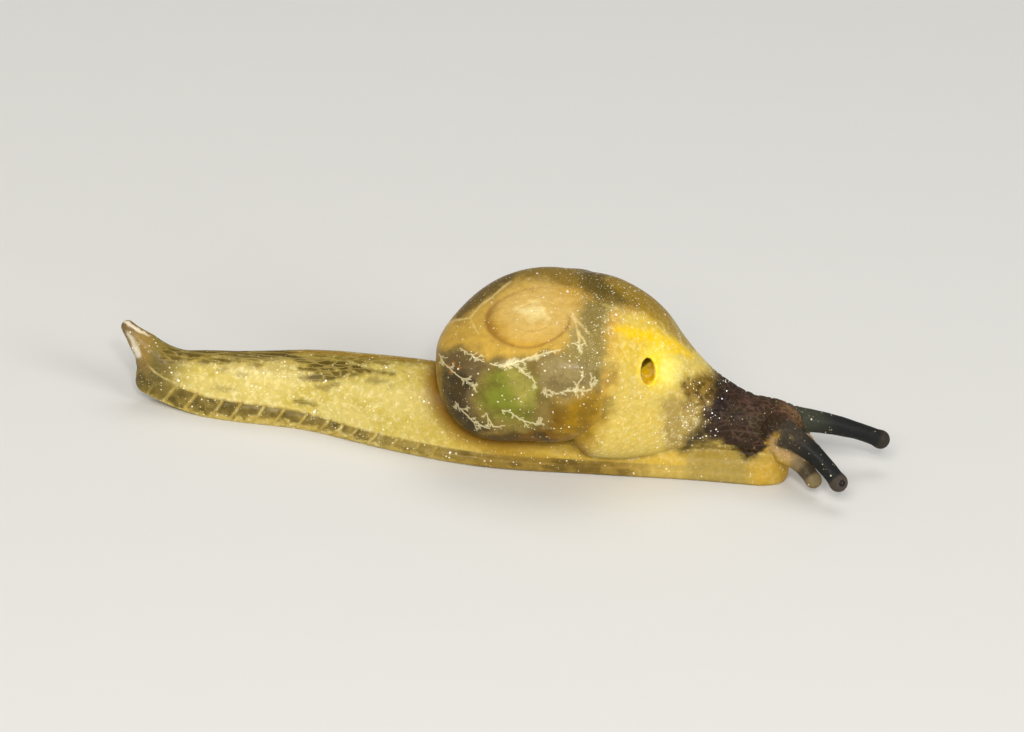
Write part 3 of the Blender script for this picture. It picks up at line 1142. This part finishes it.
def specked(tree, colour, place, amount):
    """A colour with a fine uneven tone and pale grains of three sizes."""
    toned = toned_by_noise(tree, colour, place, 0.16, 0.87, 1.09)
    small, _ = grains_on(tree, toned, place, 0.06, 0.013, amount, "#eadfa8", 0.45)
    middling, _ = grains_on(tree, small, place, 0.095, 0.020, amount, "#efe8c8", 0.85)
    return grains_on(tree, middling, place, 0.24, 0.029, amount, "#fffaec")


def curds_on(tree, colour, place, amount):
    """A colour with pale clots laid on it, like curds seen through the skin."""
    clots = node(tree, "TexNoise", {"Vector": place, "Scale": per_metre(0.17), "Detail": 6.0,
                                    "Roughness": 0.70})
    clumps = node(tree, "MapRange", {"Value": clots, "From Min": 0.46, "From Max": 0.70},
                  interpolation_type="SMOOTHSTEP")
    part = node(tree, "Math", {0: clumps, 1: amount}, operation="MULTIPLY")
    return node(tree, "Mix", {0: part, 6: colour, 7: opaque("#ece3ae")}, data_type="RGBA").outputs[2]


def threads_on(tree, colour, place, amount):
    """A colour with a net of fine pale threads laid on it, drawn out along the body."""
    bent = warped(tree, place, 0.4, 0.12)
    drawn_out = node(tree, "Mapping", {"Vector": bent, "Scale": (0.09, 1.0, 1.0)})
    strands = node(tree, "TexVoronoi", {"Vector": drawn_out, "Scale": per_metre(0.13)},
                   feature="DISTANCE_TO_EDGE")
    parting = node(tree, "MapRange", {"Value": strands, "From Min": 0.16, "From Max": 0.0, "To Max": 0.42},
                   interpolation_type="SMOOTHSTEP")
    part = node(tree, "Math", {0: parting, 1: amount}, operation="MULTIPLY")
    return node(tree, "Mix", {0: part, 6: colour, 7: opaque("#c4ae60")}, data_type="RGBA").outputs[2]


def net_on(tree, colour, place, wart, warts):
    """A colour made lighter in the furrows between the warts, more in some places than in others."""
    furrow = node(tree, "MapRange", {"Value": wart, "From Min": 0.20, "From Max": 0.02},
                  interpolation_type="SMOOTHSTEP")
    lit = node(tree, "TexNoise", {"Vector": place, "Scale": per_metre(0.5), "Detail": 2.0})
    part = node(tree, "MapRange", {"Value": lit, "From Min": 0.4, "From Max": 0.6,
                                   "To Min": 0.35, "To Max": 1.6})
    lines = node(tree, "Math", {0: furrow, 1: warts}, operation="MULTIPLY")
    brighter = node(tree, "Math", {0: lines, 1: part, 2: 1.0}, operation="MULTIPLY_ADD")
    return node(tree, "VectorMath", {0: colour, "Scale": brighter}, operation="SCALE")


def skin_relief(tree, place, wart, warts, flecks, light_depth):
    """The bump of domed warts, flecks and fine lumps, which fades where the flesh is thin."""
    lumps = node(tree, "TexNoise", {"Vector": place, "Scale": per_metre(0.10), "Detail": 5.0,
                                    "Roughness": 0.6})
    raised = node(tree, "Math", {0: flecks, 1: 0.5, 2: lumps}, operation="MULTIPLY_ADD")
    domed = node(tree, "MapRange", {"Value": wart, "From Max": 0.30}, interpolation_type="SMOOTHSTEP")
    domes = node(tree, "Math", {0: domed, 1: warts}, operation="MULTIPLY")
    height = node(tree, "Math", {0: domes, 1: 1.3, 2: raised}, operation="MULTIPLY_ADD")
    thick = node(tree, "Math", {0: light_depth, 1: 2.0}, operation="MULTIPLY")
    return node(tree, "Bump", {"Height": height, "Strength": thick, "Distance": 0.02 * MM})


def skin_material():
    """Snail flesh under a film of mucus: soft, so light goes a little way in, and wet, so the film glints."""
    material, tree, shader = new_material("snail_flesh_under_mucus")
    place = node(tree, "TexCoord").outputs["Object"]
    colour = node(tree, "Attribute", attribute_name="skin_colour")
    grains, flecks, curds, warts, threads, mucus, light_depth = (
        node(tree, "Attribute", attribute_name=name).outputs["Fac"]
        for name in ("grains", "flecks", "curds", "warts", "threads", "mucus", "light_depth"))
    bent = warped(tree, place, 0.15, 0.06)
    curdled = curds_on(tree, colour, bent, curds)
    streaky = threads_on(tree, curdled, place, threads)
    speckled, _ = specked(tree, streaky, bent, grains)
    flecked, fleck = grains_on(tree, speckled, bent, 0.07, 0.019, flecks, "#fdfcf6")
    stretched = node(tree, "Mapping", {"Vector": bent, "Scale": (0.75, 1.0, 1.2)})
    wart = node(tree, "TexVoronoi", {"Vector": stretched, "Scale": per_metre(0.20)},
                feature="DISTANCE_TO_EDGE")
    relief = skin_relief(tree, place, wart, warts, fleck, light_depth)
    ripples = node(tree, "TexNoise", {"Vector": place, "Scale": per_metre(0.16), "Detail": 3.0})
    wet = node(tree, "Bump", {"Height": ripples, "Normal": relief, "Strength": 0.8, "Distance": 0.03 * MM})
    fill_sockets(tree, shader, {
        "Base Color": net_on(tree, flecked, place, wart, warts), "Normal": relief, "Roughness": 0.55,
        "IOR": 1.38, "Specular IOR Level": 0.08, "Subsurface Weight": light_depth,
        "Subsurface Scale": 0.28 * MM, "Subsurface Radius": (1.0, 0.68, 0.30), "Coat Normal": wet,
        "Coat Weight": mucus, "Coat Roughness": 0.08, "Coat IOR": 1.34})
    return material


class SEMISLUG_OT_skin(bpy.types.Operator):
    """Build the one continuous skin over all the flesh"""

    bl_idname = "semislug.skin"
    bl_label = "Skin"

    def execute(self, context):
        sizes = context.scene.semislug_skin
        step = 1.0 * sizes.mesh_step / MM
        points, faces = net_over(skin_block(step, sizes.mantle_film / MM))
        points = relaxed(points, faces, rounds=3, pull=0.5)
        skin = new_mesh("skin", points, faces)
        normals = normals_of(skin.data)
        points = lump_skin(points, normals, sizes.tubercle_width / MM, sizes.tubercle_height / MM)
        move_points(skin.data, points)
        colours, amounts = paint_skin(points, normals_of(skin.data))
        keep_colour(skin.data, "skin_colour", colours)
        for name, values in amounts.items():
            keep_value(skin.data, name, values)
        skin.data.materials.append(skin_material())
        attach(skin, "root")
        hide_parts(*FLESH_NODES)
        return {"FINISHED"}


def suture_turn(angle):
    """(share of a turn back from the coil's end, radius of the outermost suture there)."""
    turned = ((angle - COIL_END_ANGLE) % (2 * math.pi)) / (2 * math.pi)
    return turned, COIL_RIM_SHARE * shell_reach(COIL_END_ANGLE) * COIL_GROWTH**-turned


def suture_dip(radius, angle):
    """How deep the surface dips near any turn of the suture."""
    turned, turn_radius = suture_turn(angle)
    strength = np.minimum(turned / SUTURE_FADE, 1.0)
    dip = np.zeros(np.broadcast(radius, angle).shape)
    for _ in range(SUTURE_TURNS):
        off = (radius - turn_radius) / (SUTURE_WIDTH * turn_radius)
        dip = dip + strength * SUTURE_DEPTH * turn_radius * np.exp(-off * off)
        turn_radius = turn_radius / COIL_GROWTH
        strength = 1.0
    return dip


def shell_points(rows, turns):
    """Points in millimetres, one row after another from the tip down to the base."""
    angle = np.linspace(0, 2 * math.pi, turns, endpoint=False)[None, :]
    dome = np.maximum(np.sin(np.linspace(0, 1, rows + 1)[:, None] * math.pi / 2), 1e-4)
    base = np.cos(np.linspace(0, 1, rows)[1:, None] * math.pi / 2)
    share = np.concatenate([dome, base])
    above = (np.arange(len(share)) < len(dome))[:, None]
    power = np.where(above, SHELL_DOME_POWER, SHELL_BASE_POWER)
    lean = (1 - np.minimum(share, 1) ** power) ** (1 / power)
    radius = share * shell_reach(angle)
    ahead = radius * np.cos(angle) + lean * np.where(above, SHELL_DOME_SHIFT[0], SHELL_BASE_SHIFT[0])
    beside = radius * np.sin(angle) + lean * np.where(above, SHELL_DOME_SHIFT[1], SHELL_BASE_SHIFT[1])
    up = np.broadcast_to(lean * np.where(above, SHELL_DOME, -SHELL_BASE), radius.shape)
    own = np.stack([ahead, beside, up], axis=-1)
    dip = np.where(above, suture_dip(radius, angle), 0)
    own = own - own / np.linalg.norm(own, axis=-1, keepdims=True) * dip[..., None]
    front, left, axis = (np.array(way) for way in shell_frame())
    return own[..., :1] * front + own[..., 1:2] * left + own[..., 2:] * axis + np.array(SHELL_CENTRE)


def ring_faces(rows, turns):
    """Four-sided faces between rings of points."""
    ring = np.arange(turns)
    after = (ring + 1) % turns
    first = np.stack([ring, turns + ring, turns + after, after], axis=1)
    return np.concatenate([first + k * turns for k in range(rows - 1)])


def grown_veins(rng):
    """(points, half-widths) along the milky veins: their main lines, with twigs that fork again and again."""
    points, widths = [], []

    def draw(start, heading, length, half, forks):
        place, turn = np.array(start, float), heading
        for k in range(max(3, int(length / VEIN_STEP_PX))):
            turn += rng.normal(0, 0.07)
            place = place + VEIN_STEP_PX * np.array([math.cos(turn), math.sin(turn)])
            points.append(place)
            widths.append(half * (1 - 0.6 * k * VEIN_STEP_PX / length))
            if forks and rng.random() < 0.13:
                fork = turn + rng.choice((-1, 1)) * rng.uniform(0.4, 0.9)
                draw(place, fork, length * rng.uniform(0.35, 0.6), 0.8 * half, forks - 1)

    for half, line in SHELL_VEINS_PX:
        total = sum(math.dist(a, b) for a, b in zip(line, line[1:]))
        sway, gone = 0.0, 0.0
        for a, b in zip(line, line[1:]):
            a, b = np.array(a, float), np.array(b, float)
            long = np.linalg.norm(b - a)
            heading = math.atan2(*(b - a)[::-1])
            for s in np.arange(0, long, VEIN_STEP_PX):
                sway += rng.normal(0, 0.22) - 0.15 * sway
                place = a + (b - a) * s / long + sway * np.array([-math.sin(heading), math.cos(heading)])
                points.append(place)
                middle = math.sin(math.pi * min((gone + s) / total, 1))
                widths.append(half * rng.uniform(0.10, 0.28) * (0.5 + 0.6 * middle))
                if rng.random() < 0.03 + 0.04 * half:
                    fork = heading + rng.choice((-1, 1)) * rng.uniform(0.35, 0.9)
                    draw(place, fork, rng.uniform(3.0, 8.0), TWIG_HALF_WIDTH_PX, 3)
            gone += long
    return np.array(points), np.array(widths)


def vein_amount(seen):
    """How much of the milky vein colour each seen point takes."""
    points, widths = grown_veins(np.random.default_rng(SEED))
    tree = tree_of([(*point, 0) for point in points])
    low, high = box_round(points, 3)
    amount = np.zeros(len(seen))
    for index in np.flatnonzero(((seen > low) & (seen < high)).all(axis=1)):
        _, nearest, far = tree.find((*seen[index], 0))
        amount[index] = 1 - min(max((far - widths[nearest]) / VEIN_SOFTNESS_PX, 0), 1)
    return amount


def paint_shell(points, normals):
    """(colours, amount of pale specks) of the shell."""
    ahead, beside, _, _ = about_shell(*points.T)
    angle, radius = np.arctan2(beside, ahead), np.hypot(ahead, beside)
    paint = Paint(points, pixel_of(points, normals), "#c39d42")
    x, y = paint.seen.T
    real_x, real_y = in_picture(points).T
    turned, turn_radius = suture_turn(angle)
    on_dome = ramp(2.6, 3.2, points[:, 2])
    paint_hump(paint)
    mottle = paint.clouds(0.38, 0.66, 0.34, 73, 5)
    paint.lay("#4d3d16", mottle * (0.12 + 0.26 * ramp(*SHELL_MOTTLE_Y_PX, y)))
    within = ramp(1.04, 0.96, radius / turn_radius) * np.minimum(turned / SUTURE_FADE, 1)
    within = np.maximum(within, ramp(1.04, 0.96, radius * COIL_GROWTH / turn_radius))
    paint.lay("#c09538", 0.75 * within * on_dome)
    paint.patch("#8f7e46", SHELL_SHOULDER_PX, 6, 0.65, 5, seed=86)
    rim_shade = np.exp(-((radius / turn_radius - 0.93) / 0.10) ** 2)
    paint.lay("#8a5f1c", 0.65 * rim_shade * on_dome * ramp(*RIM_SHADE_X_PX, real_x))
    near_tip = np.hypot((real_x - SHELL_TIP_PX[0]) / 1.5, real_y - SHELL_TIP_PX[1])
    near_tip = near_tip + (cloud(points, 0.25, 51, 5) - 0.5) * 22
    paint.lay("#d8b565", 0.8 * ramp(38, 14, near_tip) * on_dome)
    paint.lay("#f0da94", 0.8 * ramp(13, 2, near_tip) * on_dome)
    suture = np.zeros(len(points))
    for strength in (1.0, 0.22, 0.1):
        off = (radius - turn_radius) / (0.03 + 0.025 * turn_radius)
        suture = np.maximum(suture, strength * np.exp(-off**2))
        suture = suture * np.where(radius > 0.8 * turn_radius, np.minimum(turned / SUTURE_FADE, 1), 1)
        turn_radius = turn_radius / COIL_GROWTH
        turned = turned + 1
    clear = np.maximum(ramp(*SUTURE_CLEAR_Y_PX, real_y), ramp(*SUTURE_CLEAR_X_PX, real_x))
    paint.lay("#7d551a", 0.5 * suture * on_dome * (0.15 + 0.85 * clear))
    for half, line in SHELL_THREADS_PX:
        paint.stroke("#dcc07a", line, half, 0.75, 2.0, 0.8, 69)
    paint.stroke("#e8dba6", SHELL_BAND_PX, 1.2, 0.6, 4.5, 2.6, 69)
    facing = np.abs(normals @ TO_CAMERA)
    paint.lay("#e6daa8", 0.72 * vein_amount(paint.seen) * ramp(0.05, 0.3, facing))
    right = 0.18 + 0.6 * ramp(*RIGHT_SPECKS_X_PX, x) * ramp(*RIGHT_SPECKS_Y_PX, y)
    top = 0.5 * ramp(*TOP_SPECKS_X_PX, x) * ramp(*TOP_SPECKS_Y_PX, y)
    return paint.colours, np.maximum(right, top)


def shell_material():
    """Young snail shell, a thin glossy layer over soft organs: amber, with fine specks seen through it."""
    material, tree, shader = new_material("thin_snail_shell")
    place = node(tree, "TexCoord").outputs["Object"]
    colour = node(tree, "Attribute", attribute_name="shell_colour")
    amount = node(tree, "Attribute", attribute_name="specks").outputs["Fac"]
    speckled, _ = specked(tree, colour, warped(tree, place, 0.15, 0.06), amount)
    fill_sockets(tree, shader, {
        "Base Color": speckled, "Roughness": 0.45, "IOR": 1.50, "Specular IOR Level": 0.08,
        "Coat Weight": 0.22, "Coat Roughness": 0.12, "Coat IOR": 1.34})
    return material


class SEMISLUG_OT_shell(bpy.types.Operator):
    """Build the coiled shell with its markings"""

    bl_idname = "semislug.shell"
    bl_label = "Shell"

    def execute(self, context):
        fineness = 1.0
        turns = round(fineness * SHELL_COLUMNS)
        placed = shell_points(round(fineness * SHELL_ROWS), turns)
        points = placed.reshape(-1, 3)
        tucked = ramp(0.35, 0.7, ahead_of_edge(*points.T))[:, None] * SHELL_TUCK
        points = points + (np.array(SHELL_CENTRE) - points) * tucked
        shell = new_mesh("shell_coil", points, ring_faces(len(placed), turns))
        colours, specks = paint_shell(points, normals_of(shell.data))
        keep_colour(shell.data, "shell_colour", colours)
        keep_value(shell.data, "specks", specks)
        shell.data.materials.append(shell_material())
        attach(shell, "root")
        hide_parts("shell")
        return {"FINISHED"}


def eye_material():
    """Eye pigment under clear skin: almost black, with only a faint wet sheen."""
    material, tree, shader = new_material("black_eye_pigment")
    place = node(tree, "TexCoord").outputs["Object"]
    cloudy = node(tree, "TexNoise", {"Vector": place, "Scale": per_metre(0.05), "Detail": 2.0})
    mixed = node(tree, "Mix", {0: cloudy, 6: opaque("#0b0a0c"), 7: opaque("#191619")}, data_type="RGBA")
    fill_sockets(tree, shader, {
        "Base Color": mixed.outputs[2], "Roughness": 0.55, "IOR": 1.40, "Specular IOR Level": 0.2,
        "Coat Weight": 0.1, "Coat Roughness": 0.15})
    return material


def eye_dot_points(side, wide):
    """Points in millimetres, ring after ring, of the flat egg that is the black dot of one eye."""
    out = np.array(EYE_DOT_FACES[side])
    out = out / np.linalg.norm(out)
    across = np.cross(out, (0, 0, 1))
    across = across / np.linalg.norm(across)
    up = np.cross(across, out)
    turn = np.linspace(0, 2 * math.pi, EYE_DOT_TURNS, endpoint=False)[:, None]
    middle = np.array(EYE_STALKS[side][2]) + out * (EYE_RADIUS - EYE_DOT_INSET)
    rows = []
    for slope in np.linspace(0, math.pi, EYE_DOT_RINGS + 2)[1:-1]:
        ring = wide / 2 * math.sin(slope) * (np.cos(turn) * across + np.sin(turn) * up)
        rows.append(middle + out * EYE_DOT_RISE * math.cos(slope) + ring)
    return np.concatenate(rows)


class SEMISLUG_OT_eyes(bpy.types.Operator):
    """Set a black eye dot in the round end of each stalk"""

    bl_idname = "semislug.eyes"
    bl_label = "Eye dots"

    def execute(self, context):
        wide = context.scene.semislug_skin.eye_dot_width / MM
        material = eye_material()
        faces = ring_faces(EYE_DOT_RINGS, EYE_DOT_TURNS)
        for side in SIDES:
            dot = new_mesh(f"eye_dot_{side}", eye_dot_points(side, wide), faces)
            dot.data.materials.append(material)
            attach(dot, "root")
            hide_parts(f"eye_{side}")
        return {"FINISHED"}


def floor_material(colour):
    """Matt studio paper: pale, with a very faint tooth."""
    material, tree, shader = new_material("matt_studio_paper")
    place = node(tree, "TexCoord").outputs["Object"]
    tooth = node(tree, "TexNoise", {"Vector": place, "Scale": per_metre(1.5), "Detail": 3.0})
    shades = {6: (*[0.985 * c for c in colour], 1), 7: (*colour, 1)}
    mixed = node(tree, "Mix", {0: tooth, **shades}, data_type="RGBA")
    fill_sockets(tree, shader, {"Base Color": mixed.outputs[2], "Roughness": 0.9})
    return material


def add_light(name, place, target, side, power, tint="#ffffff"):
    """A square soft light in metres and watts that faces a point."""
    lamp = bpy.data.lights.new(name, "AREA")
    lamp.size = side
    lamp.energy = power
    lamp.color = hex_colour(tint)
    obj = bpy.data.objects.new(name, lamp)
    obj.location = place
    obj.rotation_euler = (Vector(target) - Vector(place)).to_track_quat("-Z", "Y").to_euler()
    bpy.context.scene.collection.objects.link(obj)


class SEMISLUG_OT_stage(bpy.types.Operator):
    """Set up the camera, the floor and the soft studio lights"""

    bl_idname = "semislug.stage"
    bl_label = "Studio"

    def execute(self, context):
        studio = context.scene.semislug_studio
        scene = context.scene
        scene.view_settings.view_transform = "Standard"
        lens = bpy.data.cameras.new("camera")
        lens.sensor_width = SENSOR_WIDTH
        lens.lens = SENSOR_WIDTH * CAMERA_DISTANCE * PIXELS_PER_MM / PICTURE_WIDTH
        lens.clip_start = 0.005
        camera = bpy.data.objects.new("camera", lens)
        level, level_up, view = Vector((1, 0, 0)), Vector(LEVEL_UP), Vector(TO_CAMERA)
        right = level * math.cos(CAMERA_ROLL) + level_up * math.sin(CAMERA_ROLL)
        up = level_up * math.cos(CAMERA_ROLL) - level * math.sin(CAMERA_ROLL)
        place = (Vector(CAMERA_TARGET) + view * CAMERA_DISTANCE) * MM
        camera.matrix_world = Matrix.Translation(place) @ Matrix((right, up, view)).transposed().to_4x4()
        scene.collection.objects.link(camera)
        scene.camera = camera

        corners = np.array([[-1, -1, 0], [1, -1, 0], [1, 1, 0], [-1, 1, 0]]) * FLOOR_HALF_WIDTH
        floor = new_mesh("studio_floor", corners, np.array([[0, 1, 2, 3]]))
        floor.data.materials.append(floor_material(studio.floor_colour))

        target = (0.0, 0.0, 0.002)
        power = studio.light_power
        add_light("key_softbox", (-0.03, -0.24, 0.17), target, 0.12, power, "#fffaf2")
        add_light("fill_softbox", (0.18, -0.15, 0.12), target, 0.12, 0.45 * power, "#fbfcff")
        add_light("top_softbox", (0.02, 0.08, 0.24), target, 0.16, 0.22 * power)
        add_light("small_softbox", (0.02, -0.20, 0.13), target, 0.012, 0.15 * power)
        world = bpy.data.worlds.new("pale_studio_air")
        world.use_nodes = True
        sky = world.node_tree.nodes["Background"]
        fill_sockets(world.node_tree, sky, {"Color": opaque("#f4f4f2"), "Strength": studio.air_light})
        scene.world = world
        return {"FINISHED"}


class SemislugSkin(bpy.types.PropertyGroup):
    mesh_step: bpy.props.FloatProperty(
        name="Mesh step", description="Distance between the skin's points",
        default=0.032 * MM, unit="LENGTH", precision=6)
    mantle_film: bpy.props.FloatProperty(
        name="Mantle film", description="How far the mantle stands over the shell",
        default=0.012 * MM, unit="LENGTH", precision=6)
    tubercle_width: bpy.props.FloatProperty(
        name="Tubercle width", description="Width of the warts on the head",
        default=0.24 * MM, unit="LENGTH", precision=6)
    tubercle_height: bpy.props.FloatProperty(
        name="Tubercle height", description="Height of the warts on the head",
        default=0.035 * MM, unit="LENGTH", precision=6)
    eye_dot_width: bpy.props.FloatProperty(
        name="Eye dot width", description="Width of each black eye dot",
        default=0.20 * MM, unit="LENGTH", precision=6)


class SemislugStudio(bpy.types.PropertyGroup):
    light_power: bpy.props.FloatProperty(
        name="Light power", description="Power of the main soft light", default=0.62, unit="POWER")
    air_light: bpy.props.FloatProperty(
        name="Air light", description="Strength of the even light from all round", default=0.30)
    floor_colour: bpy.props.FloatVectorProperty(
        name="Floor", description="Colour of the studio floor", subtype="COLOR",
        default=hex_colour("#dbdad6"))


class SEMISLUG_PT_panel(bpy.types.Panel):
    """The model's sizes, and a button for each piece"""

    bl_idname = "SEMISLUG_PT_panel"
    bl_label = "Semislug"
    bl_space_type = "VIEW_3D"
    bl_region_type = "UI"
    bl_category = "Semislug"

    def draw(self, context):
        for group in (context.scene.semislug_skin, context.scene.semislug_studio):
            box = self.layout.box()
            for name in type(group).__annotations__:
                box.prop(group, name)
        for operator in OPERATORS:
            self.layout.operator(operator.bl_idname)


OPERATORS = (SEMISLUG_OT_skin, SEMISLUG_OT_shell, SEMISLUG_OT_eyes, SEMISLUG_OT_stage)
CLASSES = (SemislugSkin, SemislugStudio, *OPERATORS, SEMISLUG_PT_panel)


def register():
    for kind in CLASSES:
        bpy.utils.register_class(kind)
    bpy.types.Scene.semislug_skin = bpy.props.PointerProperty(type=SemislugSkin)
    bpy.types.Scene.semislug_studio = bpy.props.PointerProperty(type=SemislugStudio)


def unregister():
    del bpy.types.Scene.semislug_studio
    del bpy.types.Scene.semislug_skin
    for kind in reversed(CLASSES):
        bpy.utils.unregister_class(kind)


def main():
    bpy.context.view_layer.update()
    register()
    bpy.ops.semislug.skin()
    bpy.ops.semislug.shell()
    bpy.ops.semislug.eyes()
    bpy.ops.semislug.stage()
    bpy.context.view_layer.update()


if __name__ == "__main__":
    main()
